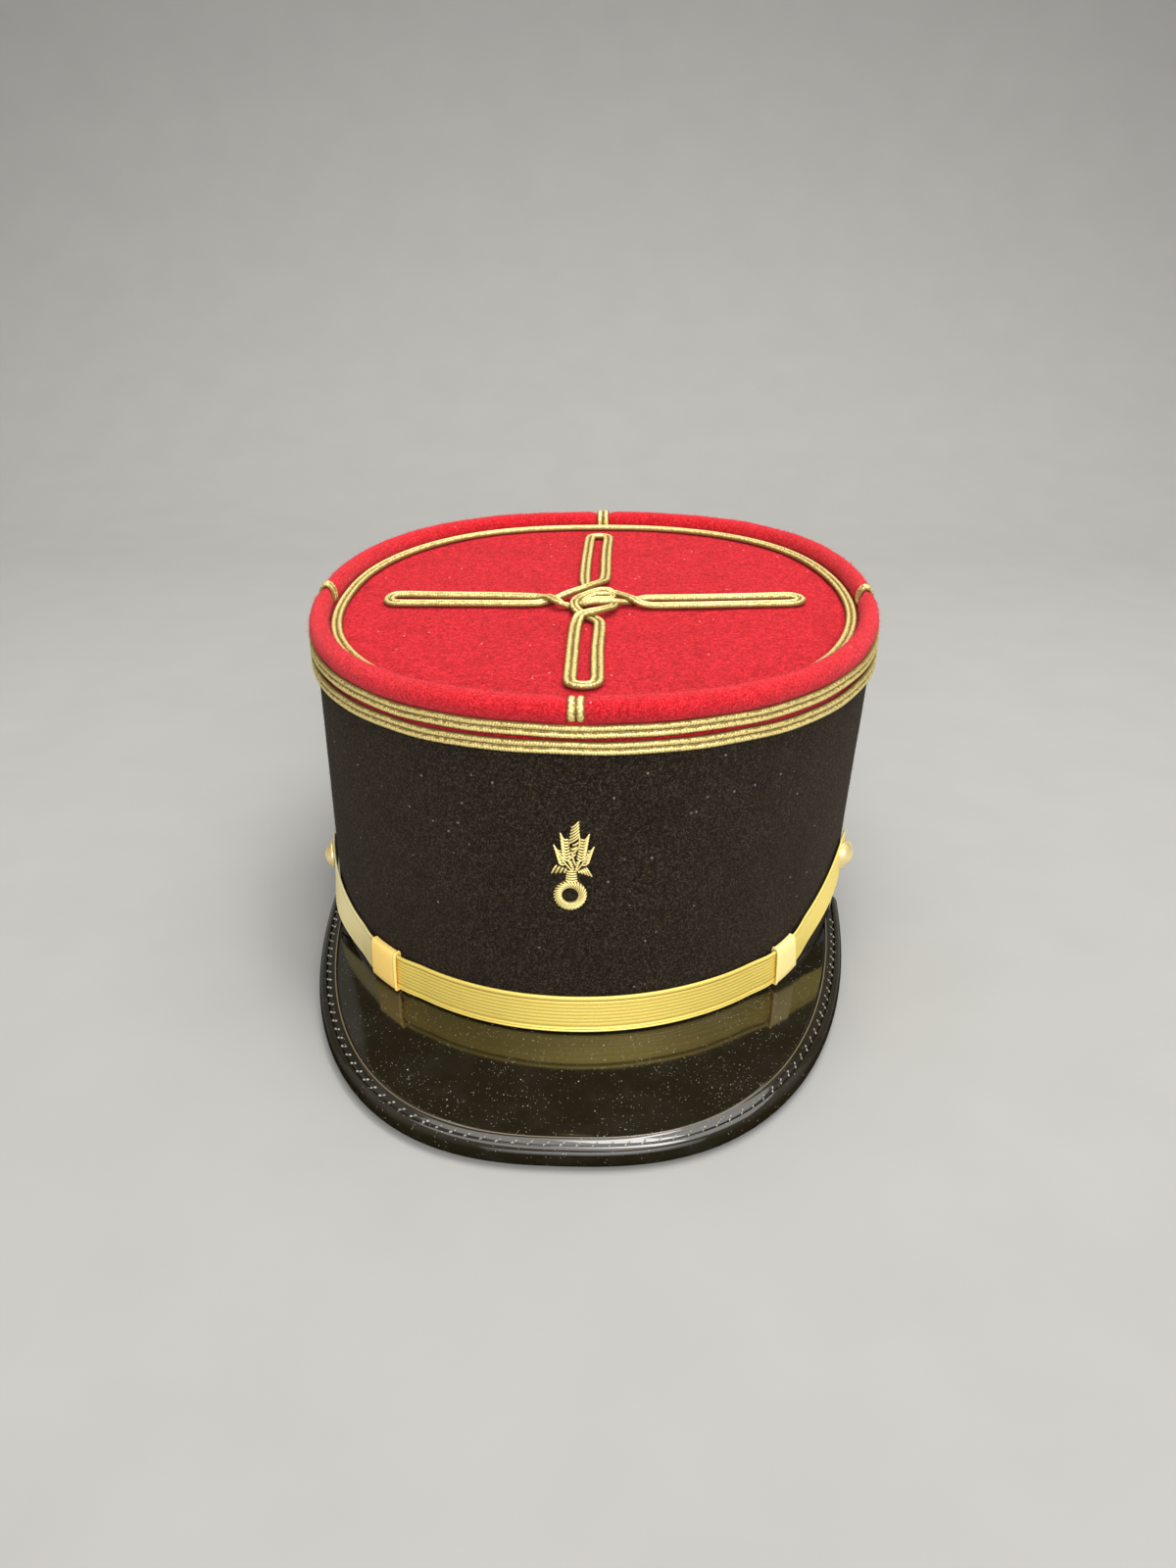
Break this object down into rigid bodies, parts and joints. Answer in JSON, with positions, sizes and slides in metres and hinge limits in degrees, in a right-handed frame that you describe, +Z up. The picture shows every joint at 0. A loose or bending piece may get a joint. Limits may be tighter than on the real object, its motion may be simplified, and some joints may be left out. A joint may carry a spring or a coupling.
{
  "type": "kepi cap",
  "caption": "Kepi cap with a tall black felt band, a red cloth crown, gold braids and knot, a gold lace chin strap and a glossy black leather peak.",
  "frame": {"origin": "on the surface the cap stands on, under the middle of the whole cap", "axes": "+Z up, -Y to the front, along the peak, +X to the wearer's left"},
  "size_m": [0.1802, 0.2462, 0.1112],
  "materials": {
    "black_felt": "matte wool felt, brown-black",
    "red_cloth": "matte wool felt, crimson",
    "gold_braid": "gold thread soutache, soft metallic sheen",
    "gold_lace": "ribbed gold lace, soft metallic sheen",
    "gold_bullion": "coiled gold wire embroidery",
    "gilt_metal": "polished gilt",
    "patent_leather": "glossy black lacquer"
  },
  "bodies": {
    "root": {"band": "black_felt", "crown_rim": "red_cloth", "crown_top": "red_cloth", "lower_braid": "gold_braid", "upper_braid": "gold_braid", "top_oval_braid": "gold_braid", "top_knot": "gold_braid", "riser_braid_front": "gold_braid", "riser_braid_back": "gold_braid", "riser_braid_left": "gold_braid", "riser_braid_right": "gold_braid", "front_badge": "gold_bullion", "chin_strap": "gold_lace", "strap_slide_left": "gold_lace", "strap_slide_right": "gold_lace", "button_left": "gilt_metal", "button_right": "gilt_metal", "peak": "patent_leather", "peak_binding": "patent_leather"}
  },
  "joints": []
}
